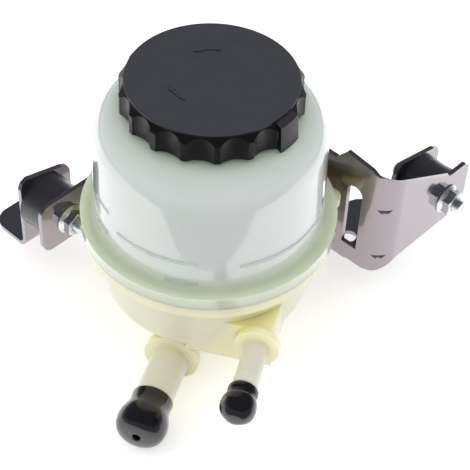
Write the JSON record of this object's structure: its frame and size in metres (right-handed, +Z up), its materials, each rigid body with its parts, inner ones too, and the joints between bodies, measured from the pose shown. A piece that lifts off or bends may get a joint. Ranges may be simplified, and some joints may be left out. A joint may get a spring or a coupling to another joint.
{
  "type": "power steering reservoir",
  "caption": "Remote power steering fluid reservoir: round clear-over-cream tank with a ridged black screw cap, hose nozzles, and a bent black bracket on rubber mounts.",
  "frame": {"origin": "centre of the flat underside of the sump, on the tank's vertical axis", "axes": "+Z up along the tank's axis, +X towards the bracket's long right wing, +Y towards the bracket's back wall, away from the hose nozzles"},
  "size_m": [0.1859, 0.1641, 0.126],
  "materials": {
    "clear_housing": "translucent pale green-white polyamide, smooth and slightly milky",
    "cream_housing": "opaque cream polyamide, smooth with a soft sheen",
    "black_cap": "black glass-filled polyamide with a fine matt grain",
    "seal_rubber": "smooth black nitrile rubber",
    "strainer_plastic": "natural white polyamide",
    "strainer_mesh": "fine woven nylon mesh",
    "plug_vinyl": "dipped black vinyl, glossy and slightly uneven",
    "black_paint": "black electrophoretic paint, very smooth and glossy",
    "zinc_steel": "bright zinc plate with a faint blue tint",
    "brass": "turned brass",
    "mount_rubber": "moulded black natural rubber, satin"
  },
  "bodies": {
    "tank": {"reservoir_upper": "clear_housing", "reservoir_lower": "cream_housing", "strainer_frame": "strainer_plastic", "strainer_screen": "strainer_mesh", "bracket": "black_paint", "left_rear_plate": "black_paint", "right_rear_plate": "black_paint", "left_rubber_mount": "mount_rubber", "right_rubber_mount": "mount_rubber", "left_front_stud": "zinc_steel", "left_rear_stud": "zinc_steel", "right_front_stud": "zinc_steel", "right_rear_stud": "zinc_steel", "left_front_nut": "zinc_steel", "left_rear_nut": "zinc_steel", "right_front_nut": "zinc_steel", "right_rear_nut": "zinc_steel", "side_insert": "brass", "side_screw": "zinc_steel", "back_insert": "brass", "back_screw": "zinc_steel"},
    "seal": {"cap_seal": "seal_rubber"},
    "cap": {"filler_cap": "black_cap"},
    "plug_of_suction": {"suction_plug": "plug_vinyl"},
    "plug_of_return": {"return_plug": "plug_vinyl"}
  },
  "joints": [
    {"name": "cap_lift", "type": "slide", "parent": "tank", "child": "seal", "axis": [0, 0, 1], "range_m": [0, 0.012]},
    {"name": "cap_turn", "type": "hinge", "parent": "seal", "child": "cap", "pos_m": [0, 0, 0.1224], "axis": [0, 0, 1], "range_deg": [0, 720]},
    {"name": "suction_pull", "type": "slide", "parent": "tank", "child": "plug_of_suction", "axis": [-0.891, -0.454, 0], "range_m": [0, 0.03]},
    {"name": "return_pull", "type": "slide", "parent": "tank", "child": "plug_of_return", "axis": [-0.866, -0.5, 0], "range_m": [0, 0.03]}
  ],
  "couplings": [
    {"joint": "cap_lift", "follows": "cap_turn", "m_per_rad": 0.00095493}
  ]
}
